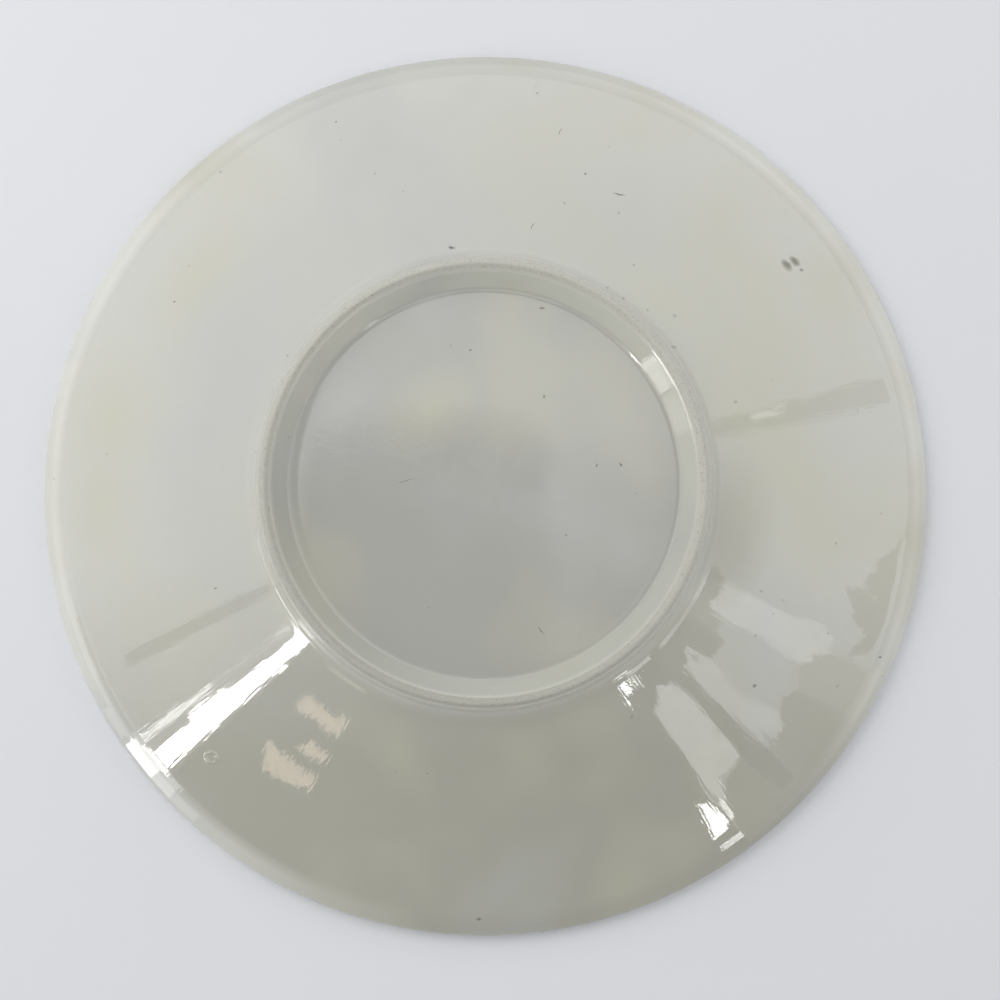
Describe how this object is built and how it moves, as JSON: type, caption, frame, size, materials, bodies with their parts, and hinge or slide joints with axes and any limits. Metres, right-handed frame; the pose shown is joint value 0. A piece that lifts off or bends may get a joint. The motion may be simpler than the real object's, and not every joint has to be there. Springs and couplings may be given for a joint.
{
  "type": "saucer",
  "caption": "Round glazed earthenware saucer with a flat well, a straight conical flange, a bevelled rim and a turned foot ring.",
  "frame": {"origin": "centre of the circle on which the foot ring stands, at the level of the table", "axes": "+Z is the saucer's axis, up from the table towards the rim; X and Y lie in the table plane and any turn about Z is alike"},
  "size_m": [0.14, 0.14, 0.0227],
  "materials": {
    "biscuit_clay": "matte",
    "cream_glaze": "gloss"
  },
  "bodies": {
    "root": {"clay_body": "biscuit_clay", "foot_ring": "biscuit_clay", "outer_glaze": "cream_glaze", "recess_glaze": "cream_glaze"}
  },
  "joints": []
}
